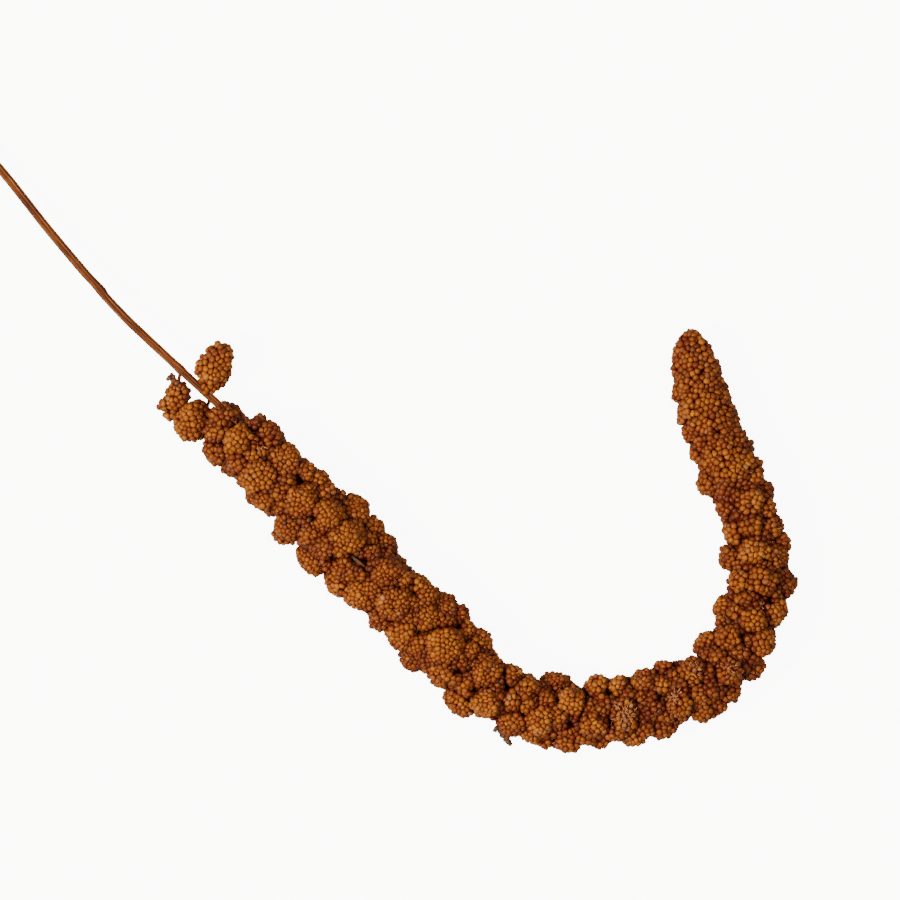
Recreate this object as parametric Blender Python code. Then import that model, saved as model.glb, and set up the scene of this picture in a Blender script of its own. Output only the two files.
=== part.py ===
# A dried head of foxtail millet on its cut stem, lying as it was laid down.
# Driving dimensions are in millimetres, seen from above with +X to the right and +Y up the view.

import math
import random

import bpy
import bmesh
from mathutils import Matrix, Vector

MM = 0.001
SEED = 7

# The bare stem, from its cut end to the head's base, as (x, y, height above the floor, radius).
STEM = [
    (-170.0, 116.0, 5.4, 1.4),
    (-150.0, 93.5, 7.0, 1.4),
    (-135.0, 74.7, 8.4, 1.4),
    (-119.0, 56.2, 9.9, 1.35),
    (-116.0, 53.0, 10.1, 1.6),
    (-114.6, 51.2, 10.2, 1.2),
    (-100.0, 36.2, 11.2, 1.2),
    (-91.6, 28.4, 11.7, 1.2),
    (-90.0, 26.9, 11.8, 1.6),
    (-88.4, 25.4, 11.9, 1.15),
    (-80.0, 18.0, 12.4, 1.1),
    (-76.6, 12.8, 12.6, 1.0),
]
STEM_SIDES = 10
STEM_STEP = 3.0
# The two branchlets, each from inside the stem to its cluster.
BRANCHLETS = [
    [(-90.0, 26.9, 11.8), (-90.2, 24.4, 11.4), (-90.8, 22.2, 10.0), (-91.1, 20.8, 8.8)],
    [(-80.0, 18.0, 12.4), (-80.3, 16.2, 12.4), (-81.0, 14.4, 11.8)],
]
BRANCHLET_RADIUS = 0.5
BRANCHLET_SIDES = 6
BRANCHLET_STEP = 1.0
GAP = 0.35

# The rachis, from the head's base to its tip, as (x, y, height above the floor, half width of the head).
# It is a little lower at three places, where the head rests.
RACHIS = [
    (-77.4, 13.6, 12.8, 3.0),
    (-73.4, 8.4, 13.2, 11.0),
    (-64.0, -3.0, 14.0, 13.5),
    (-50.0, -17.5, 13.4, 13.5),
    (-36.0, -31.5, 12.6, 13.8),
    (-22.0, -45.5, 13.4, 13.5),
    (-8.0, -59.5, 13.8, 13.2),
    (6.0, -73.0, 13.4, 12.8),
    (20.0, -83.0, 12.8, 12.5),
    (35.0, -87.3, 11.5, 12.4),
    (52.0, -86.6, 11.2, 12.2),
    (70.0, -83.0, 12.0, 12.2),
    (86.0, -75.0, 12.6, 12.2),
    (97.0, -63.5, 12.2, 12.0),
    (101.5, -50.0, 11.2, 11.8),
    (102.0, -36.0, 10.6, 11.4),
    (99.0, -21.0, 10.8, 10.8),
    (94.0, -8.0, 10.8, 10.2),
    (89.0, 5.0, 10.2, 9.4),
    (84.5, 18.0, 10.0, 9.0),
    (81.8, 29.0, 9.6, 7.8),
    (80.6, 36.0, 9.0, 5.4),
    (80.2, 40.2, 8.8, 0.8),
]
ROUTE_STEP = 2.05
CORE_SHARE = 0.64

# The clusters that face up or stand out at the sides, each as (x, y, half width).
CLUSTERS = [
    (-77.0, 9.8, 5.2),
    (-72.2, 11.8, 4.2),
    (-77.3, -0.8, 5.6),
    (-70.0, 2.5, 5.8),
    (-64.6, 8.6, 3.8),
    (-61.0, 3.8, 6.2),
    (-71.5, -6.0, 4.8),
    (-55.8, -4.6, 7.0),
    (-63.5, -9.6, 6.6),
    (-61.6, -16.6, 5.0),
    (-44.2, -11.4, 5.6),
    (-37.6, -16.0, 4.0),
    (-49.5, -17.0, 5.8),
    (-54.0, -25.6, 5.4),
    (-32.2, -21.4, 7.0),
    (-41.0, -22.0, 5.6),
    (-34.5, -29.6, 6.4),
    (-45.6, -34.4, 6.6),
    (-20.8, -32.2, 5.4),
    (-37.2, -42.6, 6.2),
    (-20.8, -41.4, 5.8),
    (-29.8, -48.4, 5.2),
    (-18.4, -50.8, 6.4),
    (-10.6, -45.2, 4.8),
    (-2.2, -53.4, 7.0),
    (-23.4, -56.2, 4.6),
    (-15.4, -60.8, 6.0),
    (-12.0, -68.6, 4.8),
    (-2.4, -65.4, 6.8),
    (8.8, -65.2, 5.8),
    (-2.0, -72.8, 5.2),
    (12.0, -73.8, 6.0),
    (3.2, -82.4, 5.8),
    (12.6, -83.4, 5.6),
    (20.4, -75.6, 4.4),
    (25.2, -80.0, 5.2),
    (21.0, -90.2, 5.2),
    (30.2, -89.6, 5.8),
    (34.6, -78.8, 4.8),
    (31.6, -95.0, 4.0),
    (40.4, -84.0, 5.0),
    (39.4, -95.4, 4.8),
    (49.2, -80.2, 5.2),
    (47.6, -90.6, 5.6),
    (49.0, -95.2, 3.8),
    (57.2, -79.4, 4.2),
    (58.0, -87.4, 6.0),
    (60.6, -94.4, 4.4),
    (66.2, -79.2, 5.4),
    (71.6, -73.8, 4.0),
    (70.2, -90.2, 5.8),
    (76.0, -83.4, 5.2),
    (81.4, -73.8, 5.2),
    (84.6, -85.0, 5.6),
    (91.2, -82.0, 4.6),
    (92.2, -73.2, 5.0),
    (86.6, -65.0, 5.2),
    (93.0, -62.6, 5.0),
    (100.4, -71.8, 4.6),
    (103.2, -62.8, 5.2),
    (93.6, -54.0, 5.4),
    (100.6, -56.2, 4.8),
    (106.2, -54.0, 5.6),
    (110.2, -44.2, 4.8),
    (103.4, -43.6, 5.2),
    (97.2, -43.6, 4.6),
    (107.6, -35.2, 5.4),
    (95.2, -35.8, 4.8),
    (101.2, -33.6, 5.2),
    (95.6, -27.2, 4.2),
    (106.2, -25.6, 4.8),
    (99.8, -25.0, 4.4),
    (92.6, -19.4, 4.6),
    (99.6, -17.2, 5.0),
    (103.4, -15.0, 4.6),
    (87.6, -9.6, 4.8),
    (94.6, -7.2, 4.8),
    (100.2, -5.6, 4.4),
    (84.8, -0.4, 4.6),
    (91.2, 1.4, 4.6),
    (97.2, 0.2, 3.8),
    (83.4, 6.2, 4.2),
    (92.8, 8.4, 4.2),
    (87.6, 9.4, 4.2),
    (80.8, 12.2, 4.6),
    (89.2, 15.2, 4.6),
    (84.2, 16.8, 4.6),
    (79.2, 20.4, 4.6),
    (86.6, 22.2, 4.8),
    (79.0, 27.8, 4.6),
    (84.8, 28.4, 4.4),
    (79.4, 33.8, 4.0),
    (82.8, 33.8, 3.8),
    (80.7, 36.8, 3.4),
]
# A cluster that leans this far out of the middle plane has a twin on the underside.
TWIN_LIFT = 2.6
TWIN_STEP = 3.0
TWIN_SWAY = 1.2

# The clusters that stand clear of the others, as lobes of (inner end, outer end, half width).
CLEAR_LOBES = [
    ((-78.0, 11.0, 12.6), (-91.6, 8.8, 15.0), 5.8),
    ((-64.0, -14.0, 11.0), (-67.0, -17.6, 10.6), 4.0),
    ((-44.0, -20.0, 12.0), (-58.8, -28.0, 11.0), 5.4),
    ((-8.0, -64.0, 12.0), (-15.0, -72.6, 10.4), 4.6),
    ((105.0, -44.0, 11.0), (115.0, -45.0, 10.0), 4.8),
]

# Grains, larger than life here. On the head they are a relief with this many places round it, a
# grain at every third one, and on the clusters apart they are as far from each other as this pitch.
PLACES_ROUND = 30
NEIGHBOURHOOD = 24.0
GRAIN_RISE = 0.3
GRAIN_RISE_SWAY = 0.15
VALLEY_DEPTH = 1.0
LEAST_SHARE = 0.3
GRAIN_PITCH = 4.8
FEWEST_GRAINS = 12
VALLEY_SHARE = 0.84
HEXAGON_AREA = math.sqrt(3) / 2
GOLDEN_TURN = math.pi * (3 - math.sqrt(5))

# The clusters on the bare stem, each as lobes of (inner end, outer end, half width).
UPPER_LOBES = [
    ((-80.8, 21.6, 13.4), (-75.2, 36.4, 13.8), 5.9),
    ((-83.6, 25.6, 13.4), (-78.6, 23.0, 13.4), 3.4),
]
LOWER_LOBES = [
    ((-90.6, 22.8, 9.6), (-92.6, 10.6, 6.2), 4.4),
    ((-90.0, 15.6, 8.0), (-97.4, 15.0, 7.6), 2.4),
]

STRAW = (0.36, 0.17, 0.06)
STRAW_ROUGHNESS = 0.6
GRAIN = (0.40, 0.14, 0.035)
GRAIN_ROUGHNESS = 0.55

FLOOR_SIZE = 400.0
FLOOR_DEPTH = 20.0


def smooth_route(points, step):
    """Points about one step apart on the smooth curve through the given points."""
    points = [Vector(point) for point in points]
    ends = [2 * points[0] - points[1], *points, 2 * points[-1] - points[-2]]
    route = []
    for before, start, end, after in zip(ends, ends[1:], ends[2:], ends[3:]):
        pieces = max(1, round((end - start).length / step))
        for piece in range(pieces):
            t = piece / pieces
            route.append(0.5 * (2 * start + (end - before) * t
                                + (2 * before - 5 * start + 4 * end - after) * t ** 2
                                + (3 * start - before - 3 * end + after) * t ** 3))
    route.append(points[-1])
    return route


def swept_tube(name, route, radii, sides):
    """A closed tube round a route of 3-D points, with a radius at each of them."""
    mesh = bmesh.new()
    rings = []
    for index, (point, radius) in enumerate(zip(route, radii)):
        ahead = route[min(index + 1, len(route) - 1)] - route[max(index - 1, 0)]
        turn = ahead.to_track_quat("Z", "Y").to_matrix().to_4x4()
        place = Matrix.Translation(point) @ turn
        ring = bmesh.ops.create_circle(mesh, segments=sides, radius=radius, matrix=place)
        rings.append(ring["verts"])
    for ring, following in zip(rings, rings[1:]):
        for corner in range(sides):
            beside = (corner + 1) % sides
            mesh.faces.new((ring[corner], ring[beside], following[beside], following[corner]))
    mesh.faces.new(list(reversed(rings[0])))
    mesh.faces.new(rings[-1])
    bmesh.ops.recalc_face_normals(mesh, faces=mesh.faces)
    return new_object(name, mesh)


def new_object(name, mesh):
    """Ends a mesh and links it to the scene as an object."""
    data = bpy.data.meshes.new(name)
    mesh.to_mesh(data)
    mesh.free()
    made = bpy.data.objects.new(name, data)
    bpy.context.scene.collection.objects.link(made)
    return made


def grain_cluster(name, inner, outer, half_width):
    """An ovoid of grains from its inner end to its outer end, each grain a low cone on the ovoid."""
    half_length = (outer - inner).length / 2
    mean = (half_length * half_width ** 2) ** (1 / 3)
    grains = max(FEWEST_GRAINS, round(4 * math.pi * mean ** 2 / (HEXAGON_AREA * GRAIN_PITCH ** 2)))
    mesh = bmesh.new()
    for index in range(grains):
        height = 1 - (2 * index + 1) / grains
        ring = math.sqrt(1 - height ** 2)
        angle = index * GOLDEN_TURN
        mesh.verts.new((ring * math.cos(angle), ring * math.sin(angle), height))
    bmesh.ops.convex_hull(mesh, input=mesh.verts)
    ridges = list(mesh.edges)
    poked = bmesh.ops.poke(mesh, faces=mesh.faces)
    bmesh.ops.rotate_edges(mesh, edges=ridges)
    for valley in poked["verts"]:
        valley.co = valley.co.normalized() * VALLEY_SHARE
    bmesh.ops.recalc_face_normals(mesh, faces=mesh.faces)
    turn = (outer - inner).to_track_quat("Z", "Y").to_matrix().to_4x4()
    size = Matrix.Diagonal((half_width, half_width, half_length, 1))
    mesh.transform(Matrix.Translation((inner + outer) / 2) @ turn @ size)
    return new_object(name, mesh)


ROUTE = smooth_route(RACHIS, ROUTE_STEP)


def nearest_station(x, y):
    """The place on the rachis that is nearest to a point seen from above, as an index of the route."""
    return min(range(len(ROUTE)), key=lambda index: math.hypot(ROUTE[index][0] - x, ROUTE[index][1] - y))


def ahead_of(index):
    """The direction of the rachis at one place of the route."""
    return (ROUTE[min(index + 1, len(ROUTE) - 1)].xyz - ROUTE[max(index - 1, 0)].xyz).normalized()


def cluster_balls():
    """The clusters on the rachis as (middle, radius): those that face up, then their twins below."""
    chance = random.Random(SEED)
    balls = []
    twins = []
    for x, y, radius in CLUSTERS:
        station = nearest_station(x, y)
        axis = ROUTE[station]
        reach = max(axis[3] - radius, 0)
        lift = math.sqrt(max(reach ** 2 - (axis[0] - x) ** 2 - (axis[1] - y) ** 2, 0))
        balls.append((Vector((x, y, axis[2] + lift)), radius))
        if lift > TWIN_LIFT:
            along = ahead_of(station) * TWIN_STEP
            sway = Vector((chance.uniform(-TWIN_SWAY, TWIN_SWAY), chance.uniform(-TWIN_SWAY, TWIN_SWAY), 0))
            twins.append((Vector((x, y, axis[2] - lift)) + along + sway, radius))
    return balls + twins


def reach_of_balls(circles, across, upward):
    """How far a ray from the rachis goes until it leaves the last of a cross-section's circles."""
    furthest = 0
    for centre_across, centre_upward, radius in circles:
        along_ray = centre_across * across + centre_upward * upward
        beside_ray = centre_across * upward - centre_upward * across
        if abs(beside_ray) < radius:
            furthest = max(furthest, along_ray + math.sqrt(radius ** 2 - beside_ray ** 2))
    return furthest


def relief_head():
    """The rachis's clusters as one skin round it, raised to a grain at every third place of a
    triangular net, so that six lower places ring each grain."""
    chance = random.Random(SEED)
    balls = cluster_balls()
    mesh = bmesh.new()
    rings = []
    for index, station in enumerate(ROUTE):
        forward = ahead_of(index)
        sideways = forward.cross(Vector((0, 0, 1))).normalized()
        up = sideways.cross(forward)
        circles = []
        for middle, radius in balls:
            offset = middle - station.xyz
            along = offset.dot(forward)
            if abs(along) < radius and offset.length < NEIGHBOURHOOD:
                circles.append((offset.dot(sideways), offset.dot(up), math.sqrt(radius ** 2 - along ** 2)))
        ring = []
        for place in range(PLACES_ROUND):
            angle = (place + 0.5 * (index % 2)) / PLACES_ROUND * math.tau
            across, upward = math.cos(angle), math.sin(angle)
            reach = max(station[3] * CORE_SHARE, reach_of_balls(circles, across, upward))
            if (place - index // 2 - index) % 3 == 0:
                reach += GRAIN_RISE + chance.uniform(-GRAIN_RISE_SWAY, GRAIN_RISE_SWAY)
            else:
                reach -= VALLEY_DEPTH
            reach = max(reach, LEAST_SHARE * station[3])
            ring.append(mesh.verts.new(station.xyz + (sideways * across + up * upward) * reach))
        rings.append(ring)
    for index, (ring, following) in enumerate(zip(rings, rings[1:])):
        shift = index % 2
        for place in range(PLACES_ROUND):
            beside = (place + 1) % PLACES_ROUND
            if shift:
                mesh.faces.new((ring[place], ring[beside], following[beside]))
                mesh.faces.new((ring[place], following[beside], following[place]))
            else:
                mesh.faces.new((ring[place], ring[beside], following[place]))
                mesh.faces.new((ring[beside], following[beside], following[place]))
    for ring, station in ((rings[0], ROUTE[0]), (rings[-1], ROUTE[-1])):
        hub = mesh.verts.new(station.xyz)
        for place in range(PLACES_ROUND):
            mesh.faces.new((ring[place], ring[(place + 1) % PLACES_ROUND], hub))
    bmesh.ops.recalc_face_normals(mesh, faces=mesh.faces)
    return new_object("head", mesh)


def drop_loose_shells(data):
    """Keeps a mesh's largest shell, without the small hollows and scraps that fusing leaves."""
    mesh = bmesh.new()
    mesh.from_mesh(data)
    waiting = set(mesh.verts)
    shells = []
    while waiting:
        shell = set()
        front = [waiting.pop()]
        while front:
            corner = front.pop()
            shell.add(corner)
            beside = {edge.other_vert(corner) for edge in corner.link_edges} & waiting
            waiting -= beside
            front.extend(beside)
        shells.append(shell)
    shells.sort(key=len)
    for shell in shells[:-1]:
        bmesh.ops.delete(mesh, geom=list(shell), context="VERTS")
    mesh.to_mesh(data)
    mesh.free()


def joined(name, base, others):
    """One body from a base and other objects, which one Boolean union joins and which are then removed."""
    collection = bpy.data.collections.new(name)
    bpy.context.scene.collection.children.link(collection)
    for other in others:
        bpy.context.scene.collection.objects.unlink(other)
        collection.objects.link(other)
    union = base.modifiers.new("union", "BOOLEAN")
    union.operation = "UNION"
    union.operand_type = "COLLECTION"
    union.collection = collection
    bpy.context.view_layer.update()
    evaluated = base.evaluated_get(bpy.context.evaluated_depsgraph_get())
    data = bpy.data.meshes.new_from_object(evaluated)
    drop_loose_shells(data)
    base.modifiers.clear()
    base.data = data
    base.name = name
    data.name = name
    for other in others:
        bpy.data.objects.remove(other)
    bpy.data.collections.remove(collection)
    return base


def stem_tube(points, step, sides, extra):
    """A tube along (x, y, height, radius) points, thicker all round and longer at its end by extra."""
    route = smooth_route(points, step)
    places = [point.xyz for point in route]
    places[-1] += (places[-1] - places[-2]).normalized() * extra
    return swept_tube("stem", places, [point[3] + extra for point in route], sides)


def stem_with_branchlets(name, extra):
    """The bare stem and its branchlets as one body, larger all round by extra."""
    stem = stem_tube(STEM, STEM_STEP, STEM_SIDES, extra)
    branchlets = []
    for points in BRANCHLETS:
        thick_points = [(*point, BRANCHLET_RADIUS) for point in points]
        branchlets.append(stem_tube(thick_points, BRANCHLET_STEP, BRANCHLET_SIDES, extra))
    return joined(name, stem, branchlets)


def lobes_of_grain(lobes):
    """Clusters that stand clear, each an ovoid of grains."""
    return [grain_cluster("lobe", Vector(inner), Vector(outer), width) for inner, outer, width in lobes]


def side_cluster(name, lobes):
    """A cluster on the bare stem, from lobes of grain."""
    first, *others = lobes_of_grain(lobes)
    return joined(name, first, others)


def floor_block():
    """The space under the floor, which levels the clusters that the head rests on."""
    mesh = bmesh.new()
    bmesh.ops.create_cube(mesh, size=1.0)
    size = Matrix.Diagonal((FLOOR_SIZE, FLOOR_SIZE, FLOOR_DEPTH, 1))
    mesh.transform(Matrix.Translation((0, 0, -FLOOR_DEPTH / 2)) @ size)
    return new_object("below_floor", mesh)


def cut_away(target, cutter):
    """Cuts a guide's space out of an object and hides the guide."""
    cut = target.modifiers.new(cutter.name, "BOOLEAN")
    cut.operation = "DIFFERENCE"
    cut.object = cutter
    cutter.hide_render = True
    cutter.display_type = "WIRE"


def finish(target, colour, roughness):
    """Gives an object its own material and smooth shading."""
    look = bpy.data.materials.new(target.name)
    look.use_nodes = True
    shader = look.node_tree.nodes["Principled BSDF"]
    shader.inputs["Base Color"].default_value = (*colour, 1)
    shader.inputs["Roughness"].default_value = roughness
    shader.inputs["Metallic"].default_value = 0
    target.data.materials.clear()
    target.data.materials.append(look)
    target.data.shade_smooth()


def settle(pieces, guides):
    """Hangs everything on one empty, in metres, with the pieces' middle over the origin."""
    bpy.context.view_layer.update()
    graph = bpy.context.evaluated_depsgraph_get()
    corners = [Vector(corner) for piece in pieces for corner in piece.evaluated_get(graph).bound_box]
    low = [min(corner[axis] for corner in corners) for axis in range(3)]
    high = [max(corner[axis] for corner in corners) for axis in range(3)]
    plant = bpy.data.objects.new("foxtail_millet", None)
    bpy.context.scene.collection.objects.link(plant)
    plant.scale = (MM, MM, MM)
    plant.location = (-(low[0] + high[0]) / 2 * MM, -(low[1] + high[1]) / 2 * MM, -low[2] * MM)
    for piece in [*pieces, *guides]:
        piece.parent = plant


for old in list(bpy.data.objects):
    bpy.data.objects.remove(old)

head = joined("seed_head", relief_head(), lobes_of_grain(CLEAR_LOBES))
upper = side_cluster("side_cluster_upper", UPPER_LOBES)
lower = side_cluster("side_cluster_lower", LOWER_LOBES)
stalk = stem_with_branchlets("stalk", 0)
room = stem_with_branchlets("room_for_stalk", GAP)
floor = floor_block()
for cluster in (head, upper, lower):
    cut_away(cluster, room)
    finish(cluster, GRAIN, GRAIN_ROUGHNESS)
cut_away(head, floor)
finish(stalk, STRAW, STRAW_ROUGHNESS)
settle([stalk, head, upper, lower], [room, floor])
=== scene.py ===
# Looks of a dried foxtail millet head: every grain, the clusters, the ribbed stem, light and camera.
import math
import random

import bpy
import numpy as np
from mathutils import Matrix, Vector
from mathutils.kdtree import KDTree


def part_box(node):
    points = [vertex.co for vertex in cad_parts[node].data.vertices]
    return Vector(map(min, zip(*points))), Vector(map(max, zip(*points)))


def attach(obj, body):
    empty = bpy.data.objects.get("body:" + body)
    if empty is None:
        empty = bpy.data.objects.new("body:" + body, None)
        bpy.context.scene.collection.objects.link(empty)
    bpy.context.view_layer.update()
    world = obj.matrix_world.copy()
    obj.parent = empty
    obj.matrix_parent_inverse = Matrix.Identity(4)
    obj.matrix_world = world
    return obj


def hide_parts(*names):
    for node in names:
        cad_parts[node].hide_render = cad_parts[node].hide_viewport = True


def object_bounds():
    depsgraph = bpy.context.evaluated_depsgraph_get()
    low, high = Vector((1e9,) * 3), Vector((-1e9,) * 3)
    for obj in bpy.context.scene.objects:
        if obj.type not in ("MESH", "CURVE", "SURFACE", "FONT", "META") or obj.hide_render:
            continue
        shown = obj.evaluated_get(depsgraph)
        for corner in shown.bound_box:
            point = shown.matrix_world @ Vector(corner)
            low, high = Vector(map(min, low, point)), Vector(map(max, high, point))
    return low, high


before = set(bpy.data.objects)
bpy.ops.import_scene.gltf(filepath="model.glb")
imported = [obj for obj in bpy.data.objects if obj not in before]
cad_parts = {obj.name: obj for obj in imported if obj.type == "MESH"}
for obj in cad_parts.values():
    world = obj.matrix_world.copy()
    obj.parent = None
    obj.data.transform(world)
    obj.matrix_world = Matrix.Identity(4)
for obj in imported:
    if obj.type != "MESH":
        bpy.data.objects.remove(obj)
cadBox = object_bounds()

mm = 0.001

# The plant as it lies, in millimetres from the middle of the view, much as the solids have it.
plant = {
    # bare stem: x, y, height, radius
    "stem": [
        (-170, 116, 5.4, 1.4), (-150, 93.5, 7, 1.52), (-135, 74.7, 8.4, 1.53), (-123, 60.4, 9.5, 1.55),
        (-119.1, 56.1, 9.9, 1.51), (-116.1, 52.8, 10.1, 1.70), (-114.8, 51, 10.2, 1.49),
        (-107.6, 43.4, 10.8, 1.51), (-100, 36.2, 11.2, 1.49), (-91.6, 28.4, 11.7, 1.49),
        (-90, 26.9, 11.8, 1.72), (-88.4, 25.4, 11.9, 1.41), (-80, 17.7, 12.4, 1.42), (-75.8, 13.9, 12.6, 1.3)],
    # branchlets off the stem: x, y, height
    "branchlets": [
        [(-90, 26.9, 11.8), (-90.2, 24.4, 11.4), (-90.8, 22.2, 10), (-91.1, 20.8, 8.8)],
        [(-80, 18, 12.4), (-80.3, 16.2, 12.4), (-81, 14.4, 11.8)]],
    # rachis: x, y, height, half width of the head
    "rachis": [
        (-77.4, 13.6, 12.8, 3), (-73.4, 8.4, 13.2, 11), (-64, -3, 14, 13.5), (-50, -17.5, 13.4, 13.5),
        (-36, -31.5, 12.6, 13.8), (-22, -45.5, 13.4, 13.5), (-8, -59.5, 13.8, 13.2), (6, -73, 13.4, 12.8),
        (20, -83, 12.8, 12.5), (35, -87.3, 11.5, 12.4), (52, -86.6, 11.2, 12.2), (70, -83, 12, 12.2),
        (86, -75, 12.6, 12.2), (97, -63.5, 12.2, 12), (101.5, -50, 11.2, 11.8), (102, -36, 10.6, 11.4),
        (99, -21, 10.8, 10.8), (94, -8, 10.8, 10.2), (88.7, 5, 10.2, 9.4), (84.2, 18, 10, 9),
        (81.5, 29, 9.6, 7.8), (80.4, 36, 9, 5.4), (80.2, 40.2, 8.8, 0.8)],
    # clusters that face up or stand out at the sides: x, y, half width
    "clusters": [
        (-75.6, 9.6, 5.4), (-76.1, -0.4, 5.7), (-70, 2.5, 5.8), (-64.3, 8.6, 2.4), (-60.8, 3.4, 5.8),
        (-70.4, -3.6, 4.3), (-55.8, -4.8, 7.1), (-62.8, -9, 6.5), (-61.2, -15.5, 4.7), (-48.6, -7.8, 4),
        (-41.6, -14.6, 4.3), (-44.7, -11.8, 5.5), (-37.8, -16.4, 4), (-49.5, -17, 5.8), (-53.2, -24.8, 4.9),
        (-33, -22, 6.8), (-26.4, -26.8, 4.5), (-41, -22, 5.6), (-34.5, -29.6, 6.4), (-44.7, -35.6, 6.4),
        (-22.2, -32.4, 4.9), (-35.5, -43.2, 6.1), (-20.8, -41.4, 5.8), (-16, -43.2, 3.5), (-29.8, -47.6, 5.2),
        (-18.4, -50.8, 6.4), (-11.2, -45.8, 4.7), (-8.4, -48.6, 4.6), (-3.3, -54.4, 6.6), (1.6, -56, 4.8),
        (5.4, -61, 4.2), (-22.4, -55.4, 4.6), (-15, -60.4, 6), (-12, -68.6, 4.8), (-2.4, -65.4, 6.8),
        (8.6, -65.4, 5.8), (-2, -73, 5), (12, -73.8, 6), (3.8, -82.8, 5.7), (12.6, -83, 5.5),
        (20.4, -75.8, 4.5), (25.2, -80, 5.2), (21.4, -90.2, 5.1), (30.2, -89.6, 5.8), (27.6, -93.6, 4.2),
        (34.7, -79, 5.2), (32, -95.2, 4.2), (40.4, -84, 5), (39.2, -95.8, 4.9), (49.8, -80.4, 5.3),
        (47.6, -90.6, 5.6), (45, -94.2, 4), (49.8, -95.4, 4), (55.2, -93.2, 4), (55.8, -79.4, 4.3),
        (58, -87.4, 6), (60.8, -94.6, 4.6), (65.2, -92, 4.1), (65.8, -78.2, 5.5), (71.6, -73.8, 4),
        (70.8, -90.4, 5.8), (76, -83.4, 5.2), (81.4, -73.8, 5.2), (84, -84.8, 5.6), (91.8, -79.8, 5),
        (88, -83.6, 4.6), (92.2, -73.2, 5), (86.6, -65, 5.2), (93, -62.6, 5), (100.4, -71.8, 4.6),
        (103, -63.4, 5.4), (93.5, -53.1, 5.4), (91.6, -58, 3.5), (100.6, -56.2, 4.8), (106.4, -53.2, 5.6),
        (109.6, -42.4, 5), (103.4, -43.6, 5.2), (97.2, -43.6, 4.6), (107.5, -35.4, 5.3), (108.9, -31.2, 4.5),
        (94.5, -35.6, 5), (101.2, -33.6, 5.2), (95.3, -27.4, 4.3), (106.2, -25.6, 4.8), (99.8, -25, 4.4),
        (92.6, -19, 4.5), (99.6, -17.2, 5), (104.6, -19.8, 4.3), (102.8, -13.6, 4.8), (87.4, -10.6, 5.1),
        (94.6, -7.2, 4.8), (99.8, -5.8, 4.4), (100.6, -9.6, 4.4), (84.4, -0.6, 4.7), (91.2, 1.4, 4.6),
        (97.4, -0.2, 4.2), (82, 6.6, 4.7), (92.8, 8.4, 4.2), (87.6, 9.4, 4.2), (80.4, 12.2, 4.9),
        (89.2, 15.2, 4.6), (84.2, 16.8, 4.6), (78.7, 19.6, 4.7), (86.8, 22.2, 4.8), (78.4, 28, 4.6),
        (84.8, 28.4, 4.4), (78.8, 33.6, 4.2), (82.8, 33.8, 3.8), (80.7, 36.8, 3.4)],
    # twins below them: how high a cluster must lie to have one, and how the twin is moved
    "twinLift": 2.6, "twinStep": 3, "twinSway": 1.2, "twinPull": 0.30, "seed": 7,
    # mm back along the rachis to a cluster's root, mm between stations, and how deep clusters reach
    "rootStep": 3, "routeStep": 2.05, "coreShare": 0.60, "leastLong": 1.9,
    # clusters that stand apart: inner end, outer end, half width
    "lobes": {
        "seed_head": [
            ((-74, 6, 12.6), (-69.9, 13.2, 14), 4.2), ((-80, 10.8, 12.6), (-91.8, 7.5, 14.4), 5.95),
            ((-86.5, 9.5, 13.6), (-82, 16, 13.2), 4), ((-65.2, 7, 12), (-62.9, 12.3, 12.4), 2),
            ((-64, -14, 11), (-66, -18.2, 10.6), 3.7),
            ((-46, -20.6, 12), (-58.4, -29.8, 12.4), 5.2),
            ((-8, -64, 12), (-14.8, -73, 10.4), 4.6),
            ((105, -44, 11), (115.4, -45.2, 10), 5.3)],
        "side_cluster_upper": [
            ((-80.4, 19.2, 13.2), (-75.7, 35.6, 13.6), 5), ((-78.2, 28.2, 13.4), (-76.2, 20.6, 13.4), 3.5),
            ((-77.6, 26.4, 13.6), (-84.9, 27.9, 13.4), 3.9), ((-77, 27, 13.6), (-74.4, 35.4, 13.8), 3.3),
            ((-78.8, 26, 13.4), (-81.6, 32, 13.4), 3.2), ((-79.8, 26, 13.4), (-82.4, 20.8, 13.2), 2.3)],
        "side_cluster_lower": [
            ((-90.5, 22.7, 9.8), (-91.9, 11.6, 6.8), 4), ((-92, 16.4, 8), (-97.8, 14.2, 7.6), 2.1),
            ((-91.6, 15, 7.4), (-94, 9.7, 6.4), 2.7), ((-92.6, 20.4, 8.6), (-94.2, 16.8, 7.8), 2.1)]},
}


def smoothRoute(points, step):
    # points about one step apart on the smooth curve through the given ones
    points = [np.array(point, float) for point in points]
    ends = [2 * points[0] - points[1], *points, 2 * points[-1] - points[-2]]
    route = []
    for before, start, end, after in zip(ends, ends[1:], ends[2:], ends[3:]):
        pieces = max(1, round(float(np.linalg.norm(end - start)) / step))
        for piece in range(pieces):
            t = piece / pieces
            route.append(0.5 * (2 * start + (end - before) * t
                                + (2 * before - 5 * start + 4 * end - after) * t ** 2
                                + (3 * start - before - 3 * end + after) * t ** 3))
    route.append(points[-1])
    return np.array(route)


def unit(vectors):
    return vectors / np.maximum(np.linalg.norm(vectors, axis=-1, keepdims=True), 1e-9)


# The frame's stalk says where the millimetre layout lies in the frame.
stemRoute = smoothRoute(plant["stem"], 1.0)
stemHeading = unit(stemRoute[1, :3] - stemRoute[0, :3])
endReach = plant["stem"][0][3] * np.sqrt(1 - stemHeading ** 2)
stalkLow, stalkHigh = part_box("stalk")
layoutShift = np.array([stalkLow[0] - (plant["stem"][0][0] - endReach[0]) * mm,
                        stalkHigh[1] - (plant["stem"][0][1] + endReach[1]) * mm, 0.0])
print("layout shift", [round(float(value), 5) for value in layoutShift])


def inFrame(places):
    # millimetres of the layout to metres of the frame
    return np.asarray(places, float) * mm + layoutShift


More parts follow.
